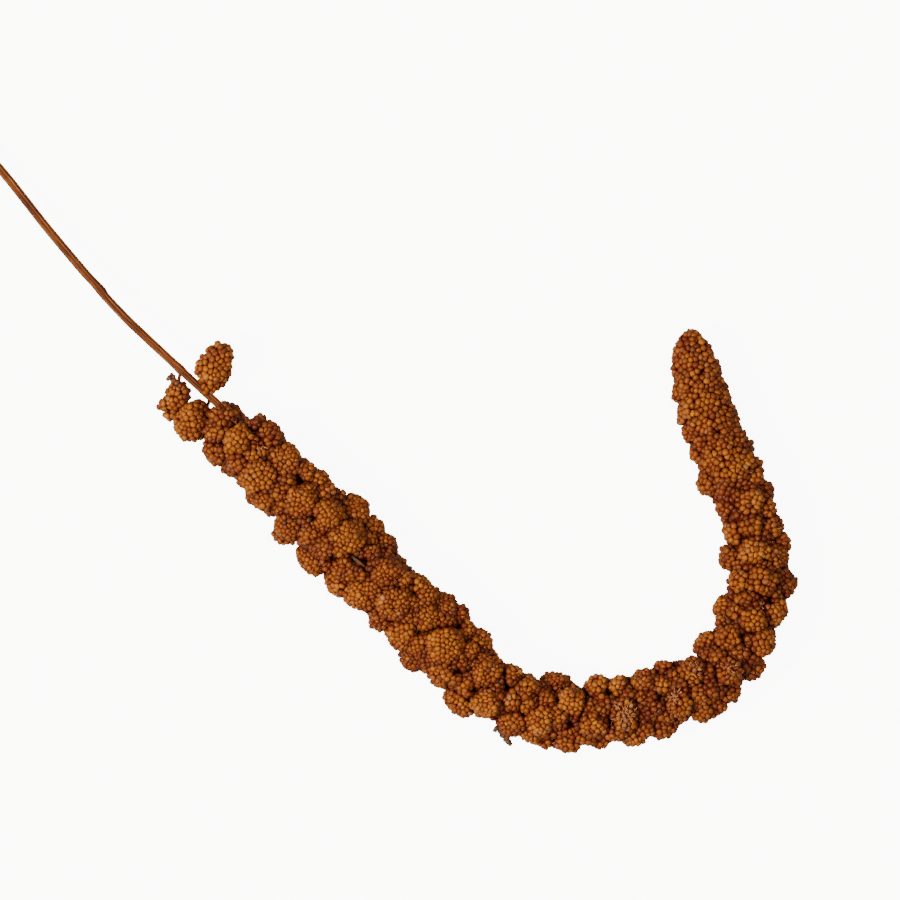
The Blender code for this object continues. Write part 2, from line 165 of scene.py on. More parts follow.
boxTop = cadBox[1][2] / mm + 0.5        # mm: no grain stands higher
rachisRoute = smoothRoute(plant["rachis"], plant["routeStep"])


def nearestStation(x, y):
    return int(np.argmin(np.hypot(rachisRoute[:, 0] - x, rachisRoute[:, 1] - y)))


def frameAt(index):
    # heading, side and up at a station
    ahead = rachisRoute[min(index + 1, len(rachisRoute) - 1), :3] - rachisRoute[max(index - 1, 0), :3]
    heading = unit(ahead)
    side = unit(np.cross(heading, [0, 0, 1.0]))
    return heading, side, np.cross(side, heading)


stationFrames = [frameAt(index) for index in range(len(rachisRoute))]


# Materials

def operators(operation):
    # wire + other and other + wire
    return (lambda wire, other: wire.maths(operation, wire, other),
            lambda wire, other: wire.maths(operation, other, wire))


class Wire:
    # a node's output, for sums written as plain expressions
    def __init__(self, look, socket):
        self.look = look
        self.socket = socket

    def maths(self, operation, first, second):
        return self.look.node("ShaderNodeMath", {"operation": operation}, {0: first, 1: second})

    __add__, __radd__ = operators("ADD")
    __sub__, __rsub__ = operators("SUBTRACT")
    __mul__, __rmul__ = operators("MULTIPLY")


class Look:
    # a material: constants on its shader's own sockets, nodes for the rest
    def __init__(self, name, constants):
        self.material = bpy.data.materials.new(name)
        self.material.use_nodes = True
        self.tree = self.material.node_tree
        self.shader = self.tree.nodes["Principled BSDF"]
        for socketName, value in constants.items():
            self.shader.inputs[socketName].default_value = value

    def node(self, kind, settings=None, sockets=None, output=0):
        made = self.tree.nodes.new(kind)
        for setting, value in (settings or {}).items():
            if setting == "stops":
                while len(made.color_ramp.elements) < len(value):
                    made.color_ramp.elements.new(0.5)
                for element, (position, colour) in zip(made.color_ramp.elements, value):
                    element.position = position
                    element.color = (*colour, 1)
            else:
                setattr(made, setting, value)
        for socketName, value in (sockets or {}).items():
            if isinstance(value, Wire):
                self.tree.links.new(value.socket, made.inputs[socketName])
            else:
                made.inputs[socketName].default_value = value
        return Wire(self, made.outputs[output])

    def attribute(self, name):
        return self.node("ShaderNodeAttribute", {"attribute_name": name}, output="Fac")

    def noise(self, scale, detail, vector=None):
        # scale is in specks to the metre
        vector = vector or self.node("ShaderNodeTexCoord", output="Object")
        return self.node("ShaderNodeTexNoise", None, {"Vector": vector, "Scale": scale, "Detail": detail}, "Fac")

    def ramp(self, amount, stops):
        return self.node("ShaderNodeValToRGB", {"stops": stops}, {"Fac": amount}, "Color")

    def blend(self, amount, first, second):
        return self.node("ShaderNodeMix", {"data_type": "RGBA", "clamp_factor": True},
                         {0: amount, 6: first, 7: second}, 2)

    def spread(self, amount, low, high):
        # 0 up to low, 1 from high, even between them
        return self.node("ShaderNodeMapRange", {"clamp": True},
                         {"Value": amount, "From Min": low, "From Max": high})

    def feed(self, socketName, wire):
        self.tree.links.new(wire.socket, self.shader.inputs[socketName])

    def bumps(self, height, strength, distance):
        self.feed("Normal", self.node("ShaderNodeBump", None,
                                      {"Height": height, "Strength": strength, "Distance": distance}, "Normal"))


grainPaint = {
    # colours from a dark grain to a pale one
    "russet": [(0, (0.048, 0.003, 0)), (0.35, (0.125, 0.018, 0.0004)), (0.65, (0.236, 0.053, 0.002)),
               (1, (0.42, 0.130, 0.014))],
    "golden": [(0, (0.060, 0.006, 0)), (0.35, (0.158, 0.035, 0.0008)), (0.65, (0.296, 0.088, 0.003)),
               (1, (0.51, 0.20, 0.022))],
    "dull": [(0, (0.048, 0.008, 0.002)), (0.5, (0.145, 0.040, 0.010)), (1, (0.44, 0.20, 0.085))],
    # the hearts' near-black colour is painted shade between the grains
    "heart": [(0.3, (0.036, 0.0025, 0)), (0.7, (0.090, 0.007, 0.0001))],
    # painted shade: dark red towards each grain's root, where it meets its neighbours
    "rootPaintedShade": (0.112, 0.006, 0.0001, 1), "rootShadePart": (0.82, 0.42),
    # painted highlight: a pale spot blended in at the top of every grain, where light catches it
    "tipHighlight": (0.58, 0.26, 0.085, 1), "highlightPart": (0.91, 1), "highlightShare": 0.38,
    "goldenFrom": (0.25, 0.85), "dullFrom": (0.86, 1),
    # what makes a grain pale: its own tone, and noises as specks to the metre and their share
    "toneShare": 0.62, "clouds": (80, 0.5), "spots": (280, 0.4), "specks": (2600, 0.15), "darker": 0.35,
    "roughness": (0.42, 0.60), "roughSpecks": 1400, "gloss": 0.28, "heartSpecks": 900,
    "bump": (0.35, 0.00012),  # strength and depth in metres, for straw too
}


def grainLook():
    # satin husks, each with its own tone and hue, a painted highlight at its top and painted shade at its root
    look = Look("grainHusk", {"Specular IOR Level": grainPaint["gloss"]})
    tip = look.attribute("tip")
    amount = look.attribute("tone") * grainPaint["toneShare"]
    for scale, share in (grainPaint["clouds"], grainPaint["spots"]):
        amount = amount + look.noise(scale, 2) * share
    specks, share = grainPaint["specks"]
    speck = look.noise(specks, 3)
    amount = amount + speck * share - grainPaint["darker"]
    russet, golden, dull = (look.ramp(amount, grainPaint[name]) for name in ("russet", "golden", "dull"))
    mixed = look.blend(look.spread(look.attribute("hue"), *grainPaint["goldenFrom"]), russet, golden)
    mixed = look.blend(look.spread(look.attribute("dull"), *grainPaint["dullFrom"]), mixed, dull)
    # the painted highlight at the grain's top
    pale = look.spread(tip, *grainPaint["highlightPart"]) * grainPaint["highlightShare"]
    mixed = look.blend(pale, mixed, grainPaint["tipHighlight"])
    # painted shade at the grain's root, which draws dark outlines between the grains
    mixed = look.blend(look.spread(tip, *grainPaint["rootShadePart"]), mixed, grainPaint["rootPaintedShade"])
    look.feed("Base Color", mixed)
    low, high = grainPaint["roughness"]
    look.feed("Roughness", look.noise(grainPaint["roughSpecks"], 2) * (high - low) + low)
    look.bumps(speck, *grainPaint["bump"])
    return look.material


def heartLook():
    # the inside of a cluster, seen only between its grains, coloured near black as painted shade between them
    look = Look("clusterHeartShade", {"Roughness": 0.9, "Specular IOR Level": 0.04})
    look.feed("Base Color", look.ramp(look.noise(grainPaint["heartSpecks"], 3), grainPaint["heart"]))
    return look.material


# straw from dark to pale: three colours for what is ribbed, two for the fine bits
strawPaint = {
    "stemStraw": [(0.26, (0.042, 0.007, 0.0006)), (0.5, (0.150, 0.034, 0.0020)), (0.76, (0.34, 0.105, 0.014))],
    "rachisStraw": [(0.26, (0.030, 0.011, 0.004)), (0.5, (0.105, 0.048, 0.018)), (0.76, (0.22, 0.115, 0.05))],
    "paleStraw": [(0.3, (0.22, 0.072, 0.016)), (0.75, (0.50, 0.235, 0.080))],
    "witheredHusk": [(0.3, (0.032, 0.009, 0.003)), (0.75, (0.155, 0.056, 0.020))],
    "brownHusk": [(0.3, (0.050, 0.010, 0.001)), (0.75, (0.20, 0.058, 0.012))],
    # streaks, fine ones and blotches: specks, detail and share, and how streaks are drawn out
    "streaks": (2.4, 4, 0.75), "fine": (8, 3, 0.45), "blotches": (150, 3, 0.35), "drawnOut": 0.05,
    # furrowShade: painted shade in the furrows between the ribs
    "furrowShade": 0.22, "darker": 0.2, "roughness": (0.45, 0.3), "bump": (0.5, 0.00015),
    "paleSpecks": 420, "paleGrit": 3000, "paleBump": (0.3, 0.0001),
}


def strawLook(name):
    # dry stem: long streaks that follow it, and painted shade in its furrows
    look = Look(name, {"Specular IOR Level": 0.22})
    along = look.attribute("along") * strawPaint["drawnOut"]
    around = look.node("ShaderNodeCombineXYZ", None, {
        "X": along, "Y": look.attribute("aroundX"), "Z": look.attribute("aroundY")})
    *streaks, streakShare = strawPaint["streaks"]
    *fines, fineShare = strawPaint["fine"]
    *blotches, blotchShare = strawPaint["blotches"]
    streak, fine = look.noise(*streaks, around), look.noise(*fines, around)
    amount = (streak * streakShare + fine * fineShare + look.noise(*blotches) * blotchShare
              - look.attribute("furrow") * strawPaint["furrowShade"] - strawPaint["darker"])
    least, swing = strawPaint["roughness"]
    look.feed("Base Color", look.ramp(amount, strawPaint[name]))
    look.feed("Roughness", fine * swing + least)
    look.bumps(fine + streak, *strawPaint["bump"])
    return look.material


def paleLook(name):
    # dry fine bits: pedicels, bristles and empty husks
    look = Look(name, {"Roughness": 0.6})
    look.feed("Base Color", look.ramp(look.noise(strawPaint["paleSpecks"], 2), strawPaint[name]))
    look.bumps(look.noise(strawPaint["paleGrit"], 2), *strawPaint["paleBump"])
    return look.material


# Modelling helpers

def primitive(kind, **settings):
    # adds one with nothing else selected
    bpy.ops.object.select_all(action="DESELECT")
    getattr(bpy.ops.mesh, f"primitive_{kind}_add")(**settings)
    return bpy.context.active_object


def editMode(piece, select):
    bpy.context.view_layer.objects.active = piece
    bpy.ops.object.mode_set(mode="EDIT")
    bpy.ops.mesh.select_mode(type="VERT")
    bpy.ops.mesh.select_all(action=select)


def objectMode():
    bpy.ops.object.mode_set(mode="OBJECT")


def reshape(piece, test, scale=None, about=(0, 0, 0), shift=None):
    # in edit mode, scales and shifts the vertices whose place passes the test
    editMode(piece, "DESELECT")
    objectMode()
    for vertex in piece.data.vertices:
        vertex.select = test(vertex.co)
    bpy.ops.object.mode_set(mode="EDIT")
    if scale:
        bpy.ops.transform.resize(value=scale, center_override=about)
    if shift:
        bpy.ops.transform.translate(value=shift)
    objectMode()


def valuesOf(items, name, perItem=1, kind=np.int32):
    values = np.empty(len(items) * perItem, dtype=kind)
    items.foreach_get(name, values)
    return values


def shapeOf(piece):
    # a modelled shape as arrays, ready to be copied; the shape itself is removed
    data = piece.data
    shape = {"places": valuesOf(data.vertices, "co", 3, float).reshape(-1, 3),
             "corners": valuesOf(data.loops, "vertex_index"), "sizes": valuesOf(data.polygons, "loop_total")}
    bpy.data.objects.remove(piece)
    return shape


def turnsTo(directions, spins):
    # rotation matrices that take +Z to each direction, after a spin about it
    forward = unit(directions)
    helper = np.where(np.abs(forward[:, 2:3]) < 0.9, [[0.0, 0.0, 1.0]], [[1.0, 0.0, 0.0]])
    side = unit(np.cross(helper, forward))
    other = np.cross(forward, side)
    cosine, sine = np.cos(spins)[:, None], np.sin(spins)[:, None]
    return np.stack([side * cosine + other * sine, other * cosine - side * sine, forward], axis=2)


def copiesOf(shape, places, turns, sizes, room=None):
    # vertices and faces of every copy: sizes are per copy and axis, room per copy and side
    points = shape["places"][None] * sizes[:, None, :]
    if room is not None:
        angles = np.arctan2(shape["places"][:, 1], shape["places"][:, 0])
        columns = np.round(angles / math.tau * room.shape[1]).astype(int) % room.shape[1]
        points[..., :2] *= room[:, columns, None]
    points = np.einsum("nij,nvj->nvi", turns, points) + places[:, None, :]
    count, perCopy = len(places), len(shape["places"])
    corners = (shape["corners"][None] + (np.arange(count) * perCopy)[:, None]).ravel()
    return {"places": points.reshape(-1, 3), "corners": corners, "sizes": np.tile(shape["sizes"], count),
            "perCopy": perCopy, "count": count}


def addMarks(data, marks):
    # named values at the vertices, which the materials read
    for mark, values in marks.items():
        data.attributes.new(mark, "FLOAT", "POINT").data.foreach_set("value", values.astype(np.float32))


def placed(name, data):
    made = bpy.data.objects.new(name, data)
    bpy.context.scene.collection.objects.link(made)
    return made


def finished(piece, material, replaced):
    # gives a piece its material, hangs it under the root body and hides the solid it stands in for
    piece.data.materials.clear()
    piece.data.materials.append(material)
    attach(piece, "root")
    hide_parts(replaced)
    return piece


def pieceFrom(name, batches, marks, material, replaced):
    # one mesh object from batches of copies, in metres of the frame, with its marks
    starts = np.cumsum([0] + [len(batch["places"]) for batch in batches])
    corners = np.concatenate([batch["corners"] + start for batch, start in zip(batches, starts)])
    places, sizes = (np.concatenate([batch[part] for batch in batches]) for part in ("places", "sizes"))
    data = bpy.data.meshes.new(name)
    data.vertices.add(len(places))
    data.vertices.foreach_set("co", inFrame(places).ravel())
    data.loops.add(len(corners))
    data.loops.foreach_set("vertex_index", corners.astype(np.int32))
    data.polygons.add(len(sizes))
    data.polygons.foreach_set("loop_start", np.concatenate([[0], np.cumsum(sizes)[:-1]]).astype(np.int32))
    data.polygons.foreach_set("use_smooth", np.ones(len(sizes), dtype=bool))
    data.update(calc_edges=True)
    addMarks(data, marks)
    return finished(placed(name, data), material, replaced)


# Clusters

clusterShape = {
    "plumpness": 1.04,        # how much wider each cluster is than its solid's half width
    "leastLong": 0.95,        # its least half length, as a share of that half width
    "heartInset": 1.12,       # mm from a cluster's outline in to its dark heart
    "heartSink": 1.5, "heartFloor": 0.4,       # how far hearts sink under a hollow, and their least height
    # how its outline strays from an ovoid: share, waves
    "swells": ((0.06, 2.8), (0.05, 6)),
    "coverShare": 0.97,       # a grain this deep in a neighbour is left out
    "seamWidth": 0.34, "seamShade": 0.62,      # how wide the seams between clusters are, and how much painted shade darkens their grains
    # mm that grains rise at the seams, least and most: in the head's first part, and after it
    "seamRise": ((-1.1, 0.45), (-1.3, -0.2)), "firstPart": 0.36, "sideSeam": 0.15,
    "seamTone": (0.75, 0.5),  # their share of the seam's shade, and how much less of it per mm they rise
    # smaller clusters that close the gaps: degrees between those tried, how deep a gap may be,
    # their start, reach and half width, as shares of the head's half width, the least height of
    # a gap in mm, and how many stations back their roots are
    "fillerTurn": 9, "gapShare": 0.68, "fillerStart": 0.3, "fillerReach": 0.81, "fillerWidth": (0.36, 0.45),
    "fillerSway": (0.97, 1.03), "fillerSeed": 19, "fillerFloor": 0.5, "fillerRoot": 2,
    # places outside the outline that no gap-closing cluster covers: x, y, reach
    "notches": [
        (-68.6, 11.6, 0.9), (-64.6, 12.8, 0.4), (-74.6, 17.4, 0.6), (-71.4, 16.4, 0.5), (-79.4, 14.6, 0.4),
        (-81.8, 4.4, 0.5), (-72.6, -10.2, 1), (-78.6, -6.8, 0.8), (-68.6, -15.2, 0.9), (-60, -22.4, 0.8),
        (-51.8, -30.6, 0.6), (-49.8, -39.8, 0.5), (-27.8, -56, 0.6), (-4.4, -79.6, 0.6), (-8.4, -75.4, 0.4),
        (12, -90, 0.7), (15.6, -92.4, 0.6), (43, -78.2, 0.6), (17, -70, 0.6), (78.6, -69.2, 0.6),
        (91.6, -45, 0.5), (78.2, -91.2, 0.5), (110.6, -59.4, 0.6), (112.8, -27.4, 0.5), (87.8, -54, 0.5),
        (95.6, -84.6, 0.5)],
    # how full the body under the clusters is at its start, along it and at the cob-like end, and
    # where that end starts and is complete, as shares of the head's length
    "startShare": 0.72, "bodyShare": 0.61, "cobShare": 0.965, "cobFrom": 0.72, "cobTo": 0.88,
    "fullBody": 0.9,          # a body this full shows its own grains
}


def clusterOf(inner, outer, halfWidth, node):
    inner, outer = np.array(inner, float), np.array(outer, float)
    halfLength = max(float(np.linalg.norm(outer - inner)) / 2, halfWidth * clusterShape["leastLong"])
    axis = unit(outer - inner)
    return {"middle": outer - axis * halfLength, "axis": axis, "long": halfLength,
            "wide": halfWidth * clusterShape["plumpness"], "node": node}


def alongAndAcross(places, middle, axis):
    # how far places lie along an axis, and their distance from it squared
    offsets = places - middle
    along = offsets @ axis
    return along, np.maximum((offsets ** 2).sum(axis=1) - along ** 2, 0)


def depthIn(cluster, places):
    # under 1 inside the cluster's ovoid, 1 on it and over 1 outside
    along, across = alongAndAcross(places, cluster["middle"], cluster["axis"])
    return np.sqrt((along / cluster["long"]) ** 2 + across / cluster["wide"] ** 2)


def headClusters():
    # the same clusters and twins as the solids, each reaching in to the rachis
    chance = random.Random(plant["seed"])
    upper, lower = [], []
    for x, y, halfWidth in plant["clusters"]:
        station = nearestStation(x, y)
        axis = rachisRoute[station]
        reach = max(axis[3] - halfWidth, 0)
        lift = math.sqrt(max(reach ** 2 - (axis[0] - x) ** 2 - (axis[1] - y) ** 2, 0))
        upper.append((np.array([x, y, axis[2] + lift]), halfWidth))
        if lift > plant["twinLift"]:
            along = stationFrames[station][0] * plant["twinStep"]
            sway = np.array([chance.uniform(-plant["twinSway"], plant["twinSway"]) for _ in range(2)] + [0])
            pull = (axis[:2] - np.array([x, y])) * plant["twinPull"]
            lower.append((np.array([x + pull[0], y + pull[1], axis[2] - lift]) + along + sway, halfWidth))
    made = []
    for middle, halfWidth in upper + lower:
        station = nearestStation(middle[0], middle[1])
        root = rachisRoute[max(0, station - round(plant["rootStep"] / plant["routeStep"]))]
        outward = unit(middle - root[:3])
        outer = middle + outward * halfWidth
        depth = np.linalg.norm(middle - root[:3]) + halfWidth - 0.5 * plant["coreShare"] * root[3]
        inner = outer - outward * max(depth, plant["leastLong"] * halfWidth)
        made.append(clusterOf(inner, outer, halfWidth, "seed_head"))
    return made


def lobesOf(node):
    return [clusterOf(*lobe, node) for lobe in plant["lobes"][node]]


def bodyShareAt(index):
    # how full the body under the clusters is: more so at the cob-like end
    place = index / (len(rachisRoute) - 1)
    share = (place - clusterShape["cobFrom"]) / (clusterShape["cobTo"] - clusterShape["cobFrom"])
    share = min(max(share, 0), 1)
    share = share * share * (3 - 2 * share)
    start = min(1, clusterShape["startShare"] + place * 4)
    return (clusterShape["bodyShare"] + (clusterShape["cobShare"] - clusterShape["bodyShare"]) * share) * start


def coreCluster(index):
    # the body's own stretch along the rachis, as a short cluster
    radius = bodyShareAt(index) * rachisRoute[index, 3]
    return {"middle": rachisRoute[index, :3], "axis": stationFrames[index][0], "long": radius, "wide": radius,
            "node": "seed_head"}


def fillGaps(made):
    # smaller clusters wherever the head's side is still bare
    chance = np.random.default_rng(clusterShape["fillerSeed"])
    spots = [(index, angle) for index in range(1, len(rachisRoute) - 2)
             for angle in np.arange(0, math.tau, math.radians(clusterShape["fillerTurn"]))]
    chance.shuffle(spots)
    added = []
    for index, angle in spots:
        index = int(index)
        side, up = stationFrames[index][1:]
        outward = side * math.cos(angle) + up * math.sin(angle)
        station = rachisRoute[index]
        gap = station[:3] + outward * station[3] * clusterShape["gapShare"]
        if gap[2] < clusterShape["fillerFloor"] or bodyShareAt(index) > clusterShape["fullBody"]:
            continue
        if any(depthIn(other, gap[None])[0] < 1 for other in made + added):
            continue
        reach = station[3] * clusterShape["fillerReach"] * chance.uniform(*clusterShape["fillerSway"])
        halfWidth = station[3] * chance.uniform(*clusterShape["fillerWidth"])
        root = rachisRoute[max(0, index - clusterShape["fillerRoot"]), :3]
        outer = station[:3] + outward * reach
        filler = clusterOf(root + (outer - root) * clusterShape["fillerStart"], outer, halfWidth, "seed_head")
        if all(depthIn(filler, np.array([[x, y, filler["middle"][2]]]))[0] > 1 + clear / halfWidth
               for x, y, clear in clusterShape["notches"]):
            added.append(filler)
    return added


clusters = headClusters() + lobesOf("seed_head")
clusters += fillGaps(clusters)
clusters += lobesOf("side_cluster_upper") + lobesOf("side_cluster_lower")
print("clusters", len(clusters))


# Grains

grainSet = {
    "seed": 41,
    "floor": 0.05,          # mm: nothing is placed lower
    "tries": 8,             # places tried for every grain that fits
    "passes": (1.44, 1.34, 1.22),   # mm between grains: large ones first, then those that fit between
    "clusterSizes": (0.95, 1.08),   # how the clusters differ in that
    # and how that changes along the head, from its stem end to its tip, and in the side clusters
    "alongHead": ([0, 0.05, 0.12, 0.3, 0.5, 0.78, 1], [1.18, 1.15, 1.02, 0.95, 1.04, 1.14, 1.18]),
    "sideSize": 1.24,
    "bodyLumps": (0.05, 0.028),     # how the body under the clusters strays from round
    "bodyReach": 0.8, "bodyClear": 0.1,        # how near its axis and its surface cluster grains may lie
    # how the grains push one another apart
    "settleRounds": 5, "settleSpacing": 1.62, "settleShare": 0.36, "pushedBy": 6,
    "neighbours": 5, "fill": 0.60,     # a grain's half height, as a share of the distance to its neighbours
    "leastWidth": 0.72, "mostWidth": 1.16, "sideWidth": 1.12,
    # grains swell up to their neighbours: sides, neighbours asked, least and most mm, how full, and
    # how far off to a side a neighbour must lie to count there
    "sides": 8, "asked": 9, "leastRoom": 0.55, "mostRoom": 1.18, "roomShare": (1.05, 1.14), "beside": 0.3,
    "height": 1.06,           # half height as a share of the half width
    "floorRoom": 1.26, "topRoom": 1.04,        # and how far a middle keeps from floor and top, as shares
    "sizeSway": 0.06, "turnSway": 0.24,
    "tipOver": 0.28, "tipSway": 0.11,          # mm that a grain's tip stands over the cluster's outline
    "lean": 0.30,             # how far grains lean towards the cluster's outer end
    "sections": 8,            # pieces that the head's grains are shared among
    # kinds of grain: how full its upper half is, mm that its point stands out, how flat one side is
    "variants": [(1.14, -0.09, 0.96), (1.20, -0.15, 0.98), (1.04, -0.02, 0.92), (1.17, -0.12, 0.90)],
    "slant": 0.09,            # how much further aside each kind's point lies
    # tones and hues: middle and spread, and how far whole clusters differ; the body's low tone, where it shows
    # between the clusters, is painted shade
    "headTone": (0.62, 0.15), "sideTone": (0.62, 0.19), "cobTone": (0.56, 0.20), "bodyTone": (0.24, 0.14),
    "clusterHue": (0.55, 0.17), "bodyHue": (0.5, 0.2), "toneApart": 0.15, "hueApart": 0.11,
    # painted shade: how much darker grains are down between the clusters, where shade falls, and from which
    # percentile fully so
    "sunkNeighbours": 26, "sunkShade": 0.84, "sunkMost": 97,
    "pitDepth": 3.6, "pitReach": 1.8, "pitShade": 0.80,      # how grains sink round a hollow, and how much painted shade darkens them there
    "pitOpen": 0.62, "pitFacing": 0.2,         # and how near its middle none face up more than so
    "upperPart": 12,          # mm: hollows and open clusters lie above this height
    # where grains differ, seen from above: x, y, reach, then tone, hue and dullness added, in full
    # near the middle and fading from there to the reach
    "tintFade": 1.4,
    "tints": [
        (-90.6, 21.8, 3.6, -0.16, -0.25, 0.50), (-88.6, 16.6, 2.2, -0.16, -0.30, 0.40),
        (-93, 13.5, 6, 0.18, 0.25, -0.3), (-86, 8.6, 6.5, 0.02, 0.06, -0.05), (-75.6, 9, 6, 0.10, 0.10, -0.1),
        (-83.4, 26, 4.2, 0.10, 0.40, -0.4), (-78, 27, 4.6, -0.02, -0.04, 0), (-81, 21.6, 2.6, 0, 0.30, -0.3),
        (-64.8, 9.6, 3.4, -0.30, -0.45, 0.1), (-35, -28, 8, 0.08, 0.30, -0.2), (-47, -24, 4, -0.16, 0, 0.1),
        (-30, -36, 5, -0.22, 0.1, 0.1), (-2, -65, 6, 0.06, 0.30, -0.2), (20, -76, 3.4, -0.18, -0.30, 0),
        (34.6, -77.4, 4.4, -0.14, -0.35, 0), (31, -89, 5, 0.10, 0.20, -0.2), (71.6, -73, 3.6, -0.16, -0.3, 0),
        (82, 16, 9, 0.04, 0.25, -0.1)],
    # seams between two clusters, seen from above, where grains sink and get painted shade: points, then half
    # width
    "seams": [([(-12, -61), (-8, -60.2), (-3.8, -58.9), (0.2, -58.3), (4.4, -58.9)], 0.85),
              ([(18.4, -73.4), (18.2, -76), (18.8, -79.4)], 0.9),
              ([(-41.6, -13.6), (-38, -13)], 0.5), ([(-33, -35.2), (-27, -40.8)], 1.25)],
    # hollows between the clusters, seen from above, where grains sink and get painted shade: x, y, half width
    "hollows": [
        (-50, -10.4, 1.9), (-45.4, -22.6, 1.2), (-39, -36.4, 1.3), (-28.2, -36.6, 1.8), (-12, -44.6, 1),
        (-11.6, -47.4, 1.2), (-10.4, -60.4, 1.3), (2.8, -73.8, 1.5), (8, -79.8, 1.2), (18.8, -79.6, 1.3),
        (40, -91.4, 1.6), (52.6, -80.6, 1.3), (69.4, -82.2, 1.6), (97.2, -61.6, 1.1), (97.8, -64, 1.1),
        (106.8, -50, 1.6), (88.6, 6.2, 1), (99.8, -24.8, 0.8), (108.6, -30, 1), (99.8, -5.8, 0.9),
        (96.3, -12.7, 0.9), (89.7, -1.7, 0.8), (85, 5, 0.8), (90.4, 14.6, 0.7), (80.8, 21.4, 0.6),
        (84.4, 26, 0.6)],
}


def grainShape(variant):
    # one grain with few faces: an ovoid with a blunt point, one flatter side and its own slant
    full, point, flat = grainSet["variants"][variant]
    piece = primitive("uv_sphere", segments=8, ring_count=4, radius=1.0)
    reshape(piece, lambda place: place.z > 0.5, scale=(full, full, 1.0))
    reshape(piece, lambda place: place.z > 0.95, shift=(grainSet["slant"] * variant, 0, point))
    reshape(piece, lambda place: place.x > 0.6, scale=(flat, 1.0, 1.0))
    return shapeOf(piece)


def spreadOver(cluster, chance):
    # many loose places over an ovoid with its low lumps, and their outward directions
    long, wide = cluster["long"], cluster["wide"]
    area = 4 * math.pi * ((long * wide) ** 1.6 * 2 / 3 + wide ** 3.2 / 3) ** (1 / 1.6)
    count = round(area * grainSet["tries"] / grainSet["passes"][1] ** 2)
    sphere = unit(chance.normal(0, 1, (count, 3)))
    swell = 1
    for share, waves in clusterShape["swells"]:
        crests = chance.normal(0, 1, (3, 3))
        swell = swell + share * np.sin(sphere @ crests.T * waves).mean(axis=1) * 1.7
    frameTurn = turnsTo(cluster["axis"][None], np.zeros(1))[0]
    local = sphere * np.array([wide, wide, long])
    outward = unit(sphere / np.array([wide, wide, long]))
    return cluster["middle"] + (local * swell[:, None]) @ frameTurn.T, outward @ frameTurn.T


def isOpen(places, own):
    # which places no neighbour covers, and how near each is to a seam
    depth = np.full(len(places), 2.0)
    for other in clusters:
        if other is own or np.linalg.norm(other["middle"] - own["middle"]) > other["long"] + own["long"] + 2:
            continue
        depth = np.minimum(depth, depthIn(other, places))
    keep = (places[:, 2] > grainSet["floor"]) & (depth > clusterShape["coverShare"])
    return keep, 1 - np.clip((depth - clusterShape["coverShare"]) / clusterShape["seamWidth"], 0, 1)


def pitAt(places):
    # how deep in a hollow each place is, seen from above: 1 at its middle, 0 outside
    near = np.zeros(len(places))
    spots = list(grainSet["hollows"])
    for line, halfWidth in grainSet["seams"]:
        spots += [(x, y, halfWidth) for x, y, _ in smoothRoute([(x, y, 0) for x, y in line], 0.5)]
    for x, y, halfWidth in spots:
        distance = np.hypot(places[:, 0] - x, places[:, 1] - y) / (halfWidth * grainSet["pitReach"])
        near = np.maximum(near, 1 - distance ** 1.5)
    return np.where(places[:, 2] > grainSet["upperPart"], near, 0)


def outOfBody(places):
    # places that stand clear of the body along the rachis
    keep = np.ones(len(places), dtype=bool)
    for index, (heading, _, _) in enumerate(stationFrames):
        along, across = alongAndAcross(places, rachisRoute[index, :3], heading)
        clear = np.sqrt(across) > bodyShareAt(index) * rachisRoute[index, 3] - grainSet["bodyClear"]
        keep &= (np.abs(along) > plant["routeStep"] * grainSet["bodyReach"]) | clear
    return keep


def bodyPlaces(chance):
    # loose places over the body itself, which shows in the gaps and makes the cob-like end
    places, outwards, homes = [], [], []
    broad, small = grainSet["bodyLumps"]
    for index in range(1, len(rachisRoute) - 1):
        heading, side, up = stationFrames[index]
        start, end = rachisRoute[index, :3], rachisRoute[index + 1, :3]
        radius, ahead = (bodyShareAt(place) * rachisRoute[place, 3] for place in (index, index + 1))
        step = float(np.linalg.norm(end - start))
        count = round(math.tau * radius * step * grainSet["tries"] / grainSet["passes"][1] ** 2)
        angles = chance.uniform(0, math.tau, count)
        share = chance.uniform(0, 1, count)
        lumps = (1 + broad * np.sin(angles * 3 + index * 0.9) * np.sin(angles * 2 - index * 0.55 + 1)
                 + small * np.sin(angles * 7 + index * 2.1))
        outward = side * np.cos(angles)[:, None] + up * np.sin(angles)[:, None]
        places.append(start + (end - start) * share[:, None]
                      + outward * ((radius + (ahead - radius) * share) * lumps)[:, None])
        outwards.append(unit(outward + heading * ((radius - ahead) / max(step, 1e-6))))
        homes.append(np.full(count, index))
    return np.concatenate(places), np.concatenate(outwards), np.concatenate(homes)


def sizeAlong(station):
    # how much wider apart grains are at a place along the head
    return np.interp(station / (len(rachisRoute) - 1), *grainSet["alongHead"])


def picked(grains, chosen):
    # the chosen grains, with all that is known of each
    return {name: values[chosen] for name, values in grains.items()}


